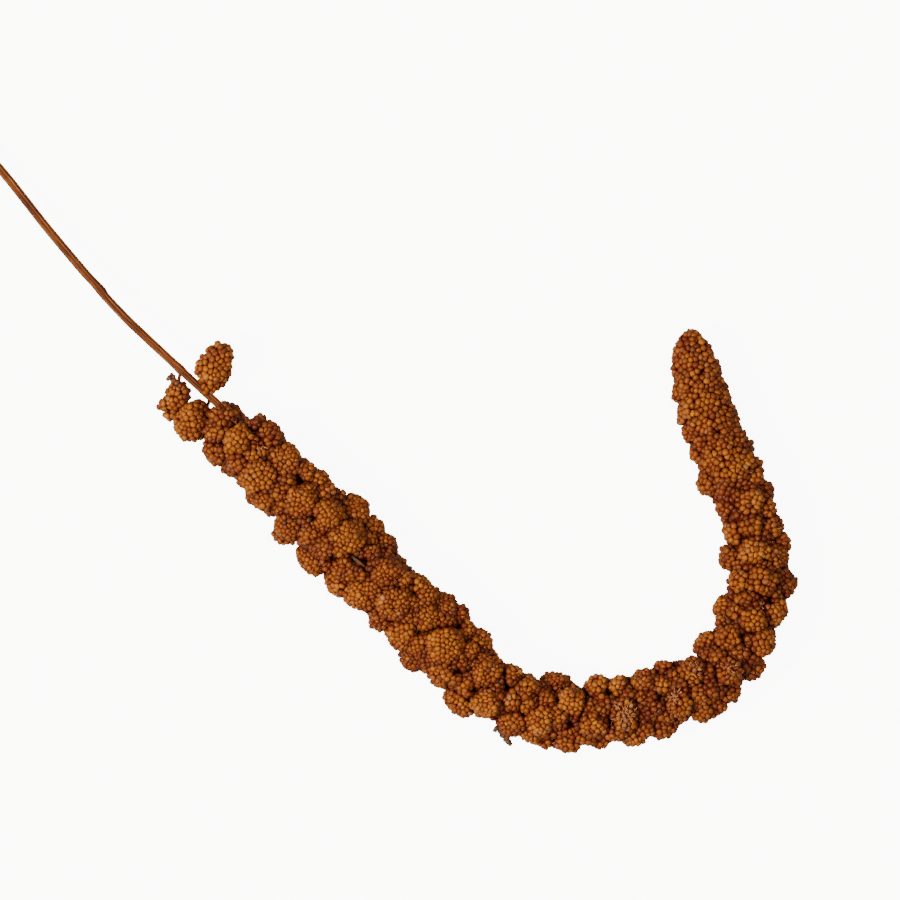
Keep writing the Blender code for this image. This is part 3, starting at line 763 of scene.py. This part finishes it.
def allGrains():
    # place, outward direction, tone, hue and home of every grain: a station, or below 0 off the head
    chance = np.random.default_rng(grainSet["seed"])
    raised, perRise = clusterShape["seamTone"]
    loose = []
    for cluster in clusters:
        spots, outward = spreadOver(cluster, chance)
        clusterTone = chance.uniform(-grainSet["toneApart"], grainSet["toneApart"])
        clusterHue = chance.uniform(-grainSet["hueApart"], grainSet["hueApart"])
        keep, seam = isOpen(spots, cluster)
        if cluster["node"] == "seed_head":
            keep &= outOfBody(spots)
        else:
            seam = seam * clusterShape["sideSeam"]
        spots, outward, seam = spots[keep], outward[keep], seam[keep] ** 1.5
        home = nearestStation(cluster["middle"][0], cluster["middle"][1])
        home = {"side_cluster_upper": -1, "side_cluster_lower": -2}.get(cluster["node"], home)
        firstPart = 0 <= home < len(rachisRoute) * clusterShape["firstPart"]
        rise = chance.uniform(*clusterShape["seamRise"][0 if firstPart else 1])
        tone = chance.normal(*grainSet["sideTone" if home < 0 else "headTone"], len(spots)) + clusterTone
        hue = chance.normal(*grainSet["clusterHue"], len(spots)) + clusterHue
        outerHalf = cluster["middle"] + cluster["axis"] * cluster["long"] * 0.5
        scale = grainSet["sideSize"] if home < 0 else sizeAlong(nearestStation(outerHalf[0], outerHalf[1]))
        scale = scale * chance.uniform(*grainSet["clusterSizes"])
        # grains near a seam get painted shade in their tone
        loose.append({
            "place": spots + outward * (seam * rise)[:, None],
            "outward": unit(outward + cluster["axis"] * grainSet["lean"]),
            "tone": np.clip(tone - seam * clusterShape["seamShade"] * (raised - rise * perRise), 0, 1),
            "hue": np.clip(hue, 0, 1), "home": np.full(len(spots), home), "scale": np.full(len(spots), scale)})
    spots, outward, home = bodyPlaces(chance)
    keep, _ = isOpen(spots, dict(coreCluster(0), long=1000.0))
    full = np.array([bodyShareAt(index) for index in home]) > clusterShape["fullBody"]
    # the body's grains that show in the gaps between clusters get a low tone: painted shade
    cobTone, bodyTone = (chance.normal(*grainSet[name], len(spots)) for name in ("cobTone", "bodyTone"))
    headings = np.array([stationFrames[index][0] for index in home])
    body = {"place": spots, "outward": unit(outward + headings * grainSet["lean"]),
            "tone": np.clip(np.where(full, cobTone, bodyTone), 0, 1),
            "hue": np.clip(chance.normal(*grainSet["bodyHue"], len(spots)), 0, 1),
            "home": home, "scale": sizeAlong(home)}
    loose.append(picked(body, keep))
    grains = {name: np.concatenate([batch[name] for batch in loose]) for name in body}
    # grains in a hollow sink, and painted shade darkens them
    near = np.where(grains["home"] >= 0, pitAt(grains["place"]), 0)
    grains["place"][:, 2] -= near * grainSet["pitDepth"]
    grains["tone"] = np.clip(grains["tone"] - near * grainSet["pitShade"], 0, 1)
    order = chance.permutation(len(near))
    grains = picked(grains, closePacking(grains["place"], order, grains["scale"]))
    grains["place"] = settled(grains["place"], grains["outward"])
    shut = pitAt(grains["place"] + [0, 0, grainSet["pitDepth"]]) < grainSet["pitOpen"]
    shut |= grains["outward"][:, 2] < grainSet["pitFacing"]
    return picked(grains, shut | (grains["home"] < 0))


def closePacking(places, order, scales):
    # picks places in passes, so that none is nearer to another than the pass and its scale allow
    cell = max(grainSet["passes"]) * float(scales.max())
    cells, chosen = {}, []
    nearby = [(x, y, z) for x in (-1, 0, 1) for y in (-1, 0, 1) for z in (-1, 0, 1)]
    rows, boxes, scales = places.tolist(), np.floor(places / cell).astype(int).tolist(), scales.tolist()
    for distance in grainSet["passes"]:
        left = []
        for index in order:
            px, py, pz = rows[index]
            kx, ky, kz = boxes[index]
            least = (distance * scales[index]) ** 2
            if any((px - qx) ** 2 + (py - qy) ** 2 + (pz - qz) ** 2 < least for dx, dy, dz in nearby
                   for qx, qy, qz in cells.get((kx + dx, ky + dy, kz + dz), ())):
                left.append(index)
            else:
                cells.setdefault((kx, ky, kz), []).append((px, py, pz))
                chosen.append(index)
        order = left
        print("grains at", distance, len(chosen))
    return np.array(chosen)


def nearest(places, count):
    # the numbers of each grain's nearest neighbours
    tree = KDTree(len(places))
    for index, place in enumerate(places):
        tree.insert(place, index)
    tree.balance()
    return np.array([[other for _, other, _ in tree.find_n(place, count + 1)][1:] for place in places])


def settled(places, outwards):
    # grains push one another apart along the surface, until they sit evenly
    places = places.copy()
    for _ in range(grainSet["settleRounds"]):
        gaps = places[:, None] - places[nearest(places, grainSet["pushedBy"])]
        lengths = np.maximum(np.linalg.norm(gaps, axis=2, keepdims=True), 0.05)
        pushes = gaps / lengths * np.maximum(grainSet["settleSpacing"] - lengths, 0) * grainSet["settleShare"]
        moves = pushes.sum(axis=1)
        moves -= outwards * (moves * outwards).sum(axis=1, keepdims=True)
        places += moves
    return places


def sunkAmong(places, outwards):
    # how far each grain lies below those around it: 0 on a cluster, 1 deep between clusters
    offsets = places[nearest(places, grainSet["sunkNeighbours"])] - places[:, None]
    lifts = np.maximum((offsets * outwards[:, None]).sum(axis=2), 0).mean(axis=1)
    return np.clip(lifts / np.percentile(lifts, grainSet["sunkMost"]), 0, 1) ** 1.5


def roomAround(centres, turns):
    # how far each grain can swell on each of its sides before it meets a neighbour, in mm
    angles = np.arange(grainSet["sides"]) * math.tau / grainSet["sides"]
    offsets = centres[nearest(centres, grainSet["asked"])] - centres[:, None]
    local = np.einsum("nji,nkj->nki", turns, offsets)
    half = (local ** 2).sum(axis=2)[..., None] / 2
    toward = local[..., 0:1] * np.cos(angles) + local[..., 1:2] * np.sin(angles)
    meets = toward > grainSet["beside"] * np.sqrt(2 * half)
    reach = np.where(meets, half / np.maximum(toward, 1e-6), grainSet["mostRoom"])
    return np.clip(reach.min(axis=1), grainSet["leastRoom"], grainSet["mostRoom"])


def buildGrains(material):
    chance = np.random.default_rng(grainSet["seed"] + 1)
    grains = allGrains()
    places, outwards, homes = grains["place"], grains["outward"], grains["home"]
    count = len(places)
    print("grains", count)
    # painted shade darkens the grains that lie down between the clusters
    marks = {"tone": grains["tone"] - sunkAmong(places, outwards) * grainSet["sunkShade"],
             "hue": grains["hue"], "dull": chance.uniform(0, 1, count)}
    fade = grainSet["tintFade"]
    for x, y, reach, *changes in grainSet["tints"]:
        near = np.clip(fade - fade * np.hypot(places[:, 0] - x, places[:, 1] - y) / reach, 0, 1)
        for mark, change in zip(("tone", "hue", "dull"), changes):
            marks[mark] = marks[mark] + near * change
    # the grains of an open cluster spread from its middle, longer and paler
    spread = np.zeros((count, 3))
    most, fall = bitSet["rosetteFade"]
    for x, y, reach, _ in bitSet["rosettes"]:
        gaps = places - (x, y, 0)
        gaps[:, 2] = 0
        near = np.clip(most - fall * np.linalg.norm(gaps, axis=1) / reach, 0, 1)
        near = near * (places[:, 2] > grainSet["upperPart"])
        spread += unit(gaps) * near[:, None]
        for mark in ("tone", "dull"):
            marks[mark] = marks[mark] + near * bitSet["rosetteMarks"][mark]
    outwards = unit(outwards + spread * bitSet["rosetteLean"])
    marks = {mark: np.clip(values, 0, 1) for mark, values in marks.items()}
    shapes = [grainShape(variant) for variant in range(len(grainSet["variants"]))]
    variants = chance.integers(0, len(shapes), count)
    gaps = places[nearest(places, grainSet["neighbours"])] - places[:, None]
    spacing = np.linalg.norm(gaps, axis=2).mean(axis=1)
    widths = np.clip(spacing * grainSet["fill"] * chance.normal(1, grainSet["sizeSway"], count),
                     grainSet["leastWidth"], grainSet["mostWidth"])
    widths = np.where(homes < 0, np.minimum(widths, grainSet["sideWidth"]), widths)
    opened = np.linalg.norm(spread, axis=1)
    heights = widths * grainSet["height"] * (1 + opened * bitSet["rosetteRise"])
    outwards = unit(outwards + chance.normal(0, grainSet["turnSway"], outwards.shape))
    rise = grainSet["tipOver"] + chance.normal(0, grainSet["tipSway"], count)
    centres = places + outwards * (rise - heights)[:, None]
    centres[:, 2] = np.clip(centres[:, 2], widths * grainSet["floorRoom"] + 0.02,
                            boxTop - widths * grainSet["topRoom"])
    turns = turnsTo(outwards, chance.uniform(0, math.tau, count))
    room = roomAround(centres, turns)
    fullness = chance.uniform(*grainSet["roomShare"], count)
    fullness *= 1 - np.minimum(opened, 1) * bitSet["rosetteSlim"]
    stretch = np.stack([fullness, fullness, heights], axis=1)
    section = np.clip((homes * grainSet["sections"]) // len(rachisRoute), 0, grainSet["sections"] - 1)
    groups = [(f"headGrains{number + 1}", (homes >= 0) & (section == number), "seed_head")
              for number in range(grainSet["sections"])]
    groups += [("upperGrains", homes == -1, "side_cluster_upper"),
               ("lowerGrains", homes == -2, "side_cluster_lower")]
    for name, mine, node in groups:
        batches, parts = [], {mark: [] for mark in ("tone", "hue", "dull", "tip")}
        for variant, shape in enumerate(shapes):
            chosen = mine & (variants == variant)
            batch = copiesOf(shape, centres[chosen], turns[chosen], stretch[chosen], room[chosen])
            batches.append(batch)
            for mark, values in marks.items():
                parts[mark].append(np.repeat(values[chosen], batch["perCopy"]))
            parts["tip"].append(np.tile(np.clip((shape["places"][:, 2] + 1) / 2, 0, 1), batch["count"]))
        joined = {mark: np.concatenate(values) for mark, values in parts.items()}
        pieceFrom(name, batches, joined, material, node)
    return places, outwards, homes


def buildHearts(material):
    # ovoids just under the grains, one for each cluster, and the core along the rachis, dark as painted shade
    # between the grains
    ball = primitive("ico_sphere", subdivisions=3, radius=1.0)
    reshape(ball, lambda place: place.z > 0.7, scale=(0.95, 0.95, 1.0))
    shape = shapeOf(ball)
    cores = [coreCluster(index) for index in range(1, len(rachisRoute) - 2, 2)]
    inset = clusterShape["heartInset"]
    for name, node in (("headHearts", "seed_head"), ("upperHeart", "side_cluster_upper"),
                       ("lowerHeart", "side_cluster_lower")):
        mine = [cluster for cluster in clusters + cores if cluster["node"] == node]
        middles, axes = (np.array([cluster[part] for cluster in mine]) for part in ("middle", "axis"))
        sizes = np.array([[cluster[part] - inset for part in ("wide", "wide", "long")] for cluster in mine])
        batch = copiesOf(shape, middles, turnsTo(axes, np.zeros(len(mine))), sizes)
        if node == "seed_head":
            batch["places"][:, 2] -= pitAt(batch["places"]) * grainSet["pitDepth"] * clusterShape["heartSink"]
        batch["places"][:, 2] = np.maximum(batch["places"][:, 2], clusterShape["heartFloor"])
        pieceFrom(name, [batch], {}, material, node)


# Stem

stemSet = {
    # ribs round each tube, their depth as a share of its radius, and its sides
    "stem": (11, 0.13, 40), "branchlet": (5, 0.1, 10), "branchletRadius": 0.66,
}


def drawnTube(name, route, radii, ribs, ribDepth, sides, material, node):
    # a straight ribbed rod, extruded ring by ring, then bent along its route
    radii = radii + np.zeros(len(route))
    lengths = np.concatenate([[0], np.cumsum(np.linalg.norm(np.diff(route, axis=0), axis=1))])
    piece = primitive("circle", vertices=sides, radius=radii[0] * mm, fill_type="NGON")
    piece.name = name
    if ribs:
        reshape(piece, lambda place: math.cos(math.atan2(place.y, place.x) * ribs) < 0.2,
                scale=(1 - ribDepth, 1 - ribDepth, 1))
    editMode(piece, "SELECT")
    for before, after, length, last in zip(radii, radii[1:], lengths[1:], lengths):
        bpy.ops.mesh.extrude_region_move(TRANSFORM_OT_translate={"value": (0, 0, (length - last) * mm)})
        bpy.ops.transform.resize(value=(after / before, after / before, 1), center_override=(0, 0, length * mm))
    objectMode()
    x, y, z = valuesOf(piece.data.vertices, "co", 3, float).reshape(-1, 3).T / mm
    angles = np.arctan2(y, x)
    ridge = (np.hypot(x, y) / np.interp(z, lengths, radii) - (1 - ribDepth)) / max(ribDepth, 0.01)
    addMarks(piece.data, {"along": z, "aroundX": np.cos(angles), "aroundY": np.sin(angles),
                          "furrow": 1 - np.clip(ridge, 0, 1)})
    wayData = bpy.data.curves.new(name + "Way", "CURVE")
    wayData.dimensions = "3D"
    wayData.twist_mode = "Z_UP"
    spline = wayData.splines.new("POLY")
    spline.points.add(len(route) - 1)
    for point, place in zip(spline.points, inFrame(route)):
        point.co = (*place, 1)
    way = placed(name + "Way", wayData)
    bend = piece.modifiers.new("alongTheWay", "CURVE")
    bend.object = way
    bend.deform_axis = "POS_Z"
    bpy.context.view_layer.objects.active = piece
    bpy.ops.object.modifier_apply(modifier=bend.name)
    bpy.data.objects.remove(way)
    editMode(piece, "SELECT")
    bpy.ops.mesh.normals_make_consistent(inside=False)
    objectMode()
    bpy.ops.object.shade_smooth_by_angle(angle=math.radians(50))
    return finished(piece, material, node)


def buildStem(material):
    drawnTube("stemStraw", stemRoute[:, :3], stemRoute[:, 3], *stemSet["stem"], material, "stalk")
    for number, points in enumerate(plant["branchlets"]):
        drawnTube(f"branchlet{number + 1}", smoothRoute(points, 0.5), stemSet["branchletRadius"],
                  *stemSet["branchlet"], material, "stalk")


# Fine bits: pedicels, bristles, withered spikelets and the sliver of rachis

bitSet = {
    "seed": 77,
    "bow": 0.6,               # how far bristles and pedicels bow
    "bristles": 420, "bristleFrom": 4,         # how many, and the least height of their places
    "bristleLength": (1.6, 3.4), "bristleRadius": 0.055, "bristleSway": 0.55, "bristleRoot": 0.8,
    "pedicelRadius": 0.165, "pedicelLength": (0.9, 1.9), "pedicelSway": 0.3, "pedicelPart": (0.04, 0.8),
    # how thick they are, how far below the middle and under the grains they start, how they rise
    "pedicelThick": (0.7, 1.2), "pedicelDrop": 3, "pedicelRoot": 0.2, "pedicelRise": 0.8,
    # open clusters that show their pale pedicels: x, y, half width, how many
    "rosettes": [
        (58, -87.6, 4.6, 36), (74.6, -81.8, 3.2, 18), (80.6, -73.2, 3, 16), (92.6, -72.6, 3, 16),
        (103.4, -51.8, 3, 6), (-63.8, 2, 2.6, 5)],
    # how their grains lean outward, how much longer and slimmer they are, and how much paler and duller
    "rosetteLean": 0.75, "rosetteRise": 0.45, "rosetteSlim": 0.24, "rosetteMarks": {"tone": 0.18, "dull": 0.5},
    "rosetteFade": (1.6, 1.2),
    # withered spikelets: stalk points, then the small grains on it
    "withered": [
        ("seed_head", [(17.4, -91.4, 9.4), (16.6, -93.6, 9), (18, -95.6, 8.6), (19.6, -98, 8)],
         [(15.6, -92.8, 9.2, 1.1), (17, -94, 9, 1.2), (17.6, -95.4, 8.6, 1.1), (19, -95.9, 8.4, 1.15),
          (19.5, -97.4, 8, 1.2), (18.5, -96.8, 7.6, 1), (20, -98.2, 8, 0.9), (15, -93.6, 8.8, 0.8)]),
        ("side_cluster_lower", [(-90.6, 21.4, 9.8), (-91.4, 22.9, 10.4), (-92.6, 24.2, 10.8)],
         [(-91, 22.4, 10.9, 1.1), (-92.2, 23.2, 10.9, 1.15), (-93.4, 24, 10.6, 1.05), (-92.2, 24.4, 10.7, 0.9),
          (-92.8, 25.2, 10.4, 0.7), (-94.2, 23.6, 10.4, 0.7)])],
    "witheredTube": (0.4, 0, 0, 6), "witheredGrain": (0.85, 0.95, 1.05),
    # a stretch of bare rachis between the clusters
    "sliver": [(-33.6, -34.4, 18.4), (-31.4, -36.3, 20.3), (-29, -38.3, 20.5), (-26.6, -40.4, 18.6)],
    "sliverTube": (0.7, 5, 0.12, 15),
}


def slimShape(bow):
    # one slim tapered stalk with a bow, unit length
    piece = primitive("cylinder", vertices=4, radius=1.0, depth=1.0, location=(0, 0, 0.5))
    bpy.ops.object.transform_apply(location=True)
    editMode(piece, "SELECT")
    bpy.ops.mesh.subdivide(number_cuts=2)
    bpy.ops.mesh.remove_doubles(threshold=0.0001)
    objectMode()
    reshape(piece, lambda place: place.z > 0.9, scale=(0.45, 0.45, 1), about=(0, 0, 1), shift=(bow * 2.2, 0, 0))
    reshape(piece, lambda place: 0.5 < place.z < 0.9, shift=(bow * 0.9, 0, 0))
    return shapeOf(piece)


def surfaceHeight(x, y):
    # height of the uppermost cluster at a place seen from above
    top = 0.0
    for cluster in clusters:
        for z in np.arange(cluster["middle"][2] + cluster["wide"] + 2, top, -0.25):
            if depthIn(cluster, np.array([[x, y, z]]))[0] < 1:
                top = float(z)
                break
    return top


def buildBits(material, witheredMaterials, rachisMaterial, places, outwards, homes):
    chance = np.random.default_rng(bitSet["seed"])
    slim = slimShape(bitSet["bow"])

    def strands(starts, aims, thick, lengths):
        turns = turnsTo(aims, chance.uniform(0, 6, len(starts)))
        return copiesOf(slim, starts, turns, np.stack([thick, thick, lengths], axis=1))

    # bristles stand between the grains and lean with them
    upward = np.flatnonzero((homes >= 0) & (places[:, 2] > bitSet["bristleFrom"]))
    chosen = chance.choice(upward, bitSet["bristles"], replace=False)
    count = len(chosen)
    directions = unit(outwards[chosen] + chance.normal(0, bitSet["bristleSway"], (count, 3)))
    lengths = chance.uniform(*bitSet["bristleLength"], count)
    batch = strands(places[chosen] - outwards[chosen] * bitSet["bristleRoot"], directions,
                    np.full(count, bitSet["bristleRadius"]), lengths)
    batch["places"][:, 2] = np.clip(batch["places"][:, 2], grainSet["floor"], boxTop)
    pieceFrom("bristles", [batch], {}, material, "seed_head")
    # pedicels radiate over the open clusters
    starts, aims, longs, sway = [], [], [], bitSet["pedicelSway"]
    for x, y, reach, count in bitSet["rosettes"]:
        top = surfaceHeight(x, y)
        for _ in range(count):
            angle = chance.uniform(0, math.tau)
            distance = reach * chance.uniform(*bitSet["pedicelPart"])
            ahead, aside = math.cos(angle), math.sin(angle)
            px, py = x + ahead * distance, y + aside * distance
            height = max(surfaceHeight(px, py), top - bitSet["pedicelDrop"]) - bitSet["pedicelRoot"]
            starts.append((px, py, height))
            aims.append((ahead + chance.normal(0, sway), aside + chance.normal(0, sway),
                         bitSet["pedicelRise"] - distance / reach))
            longs.append(chance.uniform(*bitSet["pedicelLength"]))
    thick = bitSet["pedicelRadius"] * chance.uniform(*bitSet["pedicelThick"], len(starts))
    batch = strands(np.array(starts), np.array(aims), thick, np.array(longs))
    pieceFrom("pedicels", [batch], {}, material, "seed_head")
    # withered spikelets, then the sliver of rachis
    grain = grainShape(1)
    for number, (node, stalk, beads) in enumerate(bitSet["withered"]):
        drawnTube(f"witheredStalk{number + 1}", smoothRoute(stalk, 0.5), *bitSet["witheredTube"],
                  witheredMaterials[number], node)
        beads = np.array(beads)
        aims = chance.normal(0, 1, (len(beads), 3))
        batch = copiesOf(grain, beads[:, :3], turnsTo(aims, np.zeros(len(beads))),
                         beads[:, 3:] * bitSet["witheredGrain"])
        pieceFrom(f"witheredGrains{number + 1}", [batch], {}, witheredMaterials[number], node)
    drawnTube("rachisSliver", smoothRoute(bitSet["sliver"], 0.8), *bitSet["sliverTube"],
              rachisMaterial, "seed_head")


# Build

grainPlaces, grainOutwards, grainHomes = buildGrains(grainLook())
buildHearts(heartLook())
buildStem(strawLook("stemStraw"))
buildBits(paleLook("paleStraw"), (paleLook("witheredHusk"), paleLook("brownHusk")), strawLook("rachisStraw"),
          grainPlaces, grainOutwards, grainHomes)
print("pieces built")

# Floor, light and camera

studio = {
    "viewWidth": 300,       # mm across the picture at the head's middle height
    "middleHeight": 12, "cameraHeight": 2400, "sensorWidth": 36,
    # the floor glows, as on a light table
    "floorTint": (0.80, 0.80, 0.795, 1), "glowTint": (1, 0.99, 0.975, 1), "floorGlow": 9.6,
    # soft boxes: name, place, size, power, tint
    "softBoxes": [("keyLight", (-1.05, -0.30, 1.40), 0.6, 50, (1, 0.91, 0.77)),
                  ("fillLight", (0.55, 0.40, 1.9), 0.9, 14, (1, 0.92, 0.80))],
    "roomTint": (1, 0.91, 0.79, 1), "roomLight": 0.54,
}

floorPlane = primitive("plane", size=6.0)
floorPlane.name = "floorPlane"
floorLook = Look("paleFloor", {"Base Color": studio["floorTint"], "Roughness": 0.9,
                               "Emission Color": studio["glowTint"], "Emission Strength": studio["floorGlow"]})
floorPlane.data.materials.append(floorLook.material)
floorPlane.visible_diffuse = False
floorPlane.visible_glossy = False

cameraData = bpy.data.cameras.new("camera")
camera = placed("camera", cameraData)
middle = inFrame((0, 0, studio["middleHeight"]))
camera.location = (middle[0], middle[1], studio["cameraHeight"] * mm)
camera.rotation_euler = (0, 0, 0)
cameraData.sensor_width = studio["sensorWidth"]
cameraData.lens = studio["sensorWidth"] * (studio["cameraHeight"] - studio["middleHeight"]) / studio["viewWidth"]
cameraData.clip_end = 20
bpy.context.scene.camera = camera

for name, place, size, power, tint in studio["softBoxes"]:
    # each is turned to the head
    lightData = bpy.data.lights.new(name, "AREA")
    lightData.shape = "DISK"
    lightData.size = size
    lightData.energy = power
    lightData.color = tint
    light = placed(name, lightData)
    light.location = place
    aim = Vector((middle[0], middle[1], 0)) - Vector(place)
    light.rotation_euler = aim.to_track_quat("-Z", "Y").to_euler()

world = bpy.data.worlds.new("studioWorld")
world.use_nodes = True
background = world.node_tree.nodes["Background"]
background.inputs["Color"].default_value = studio["roomTint"]
background.inputs["Strength"].default_value = studio["roomLight"]
bpy.context.scene.world = world
print("studio ready")
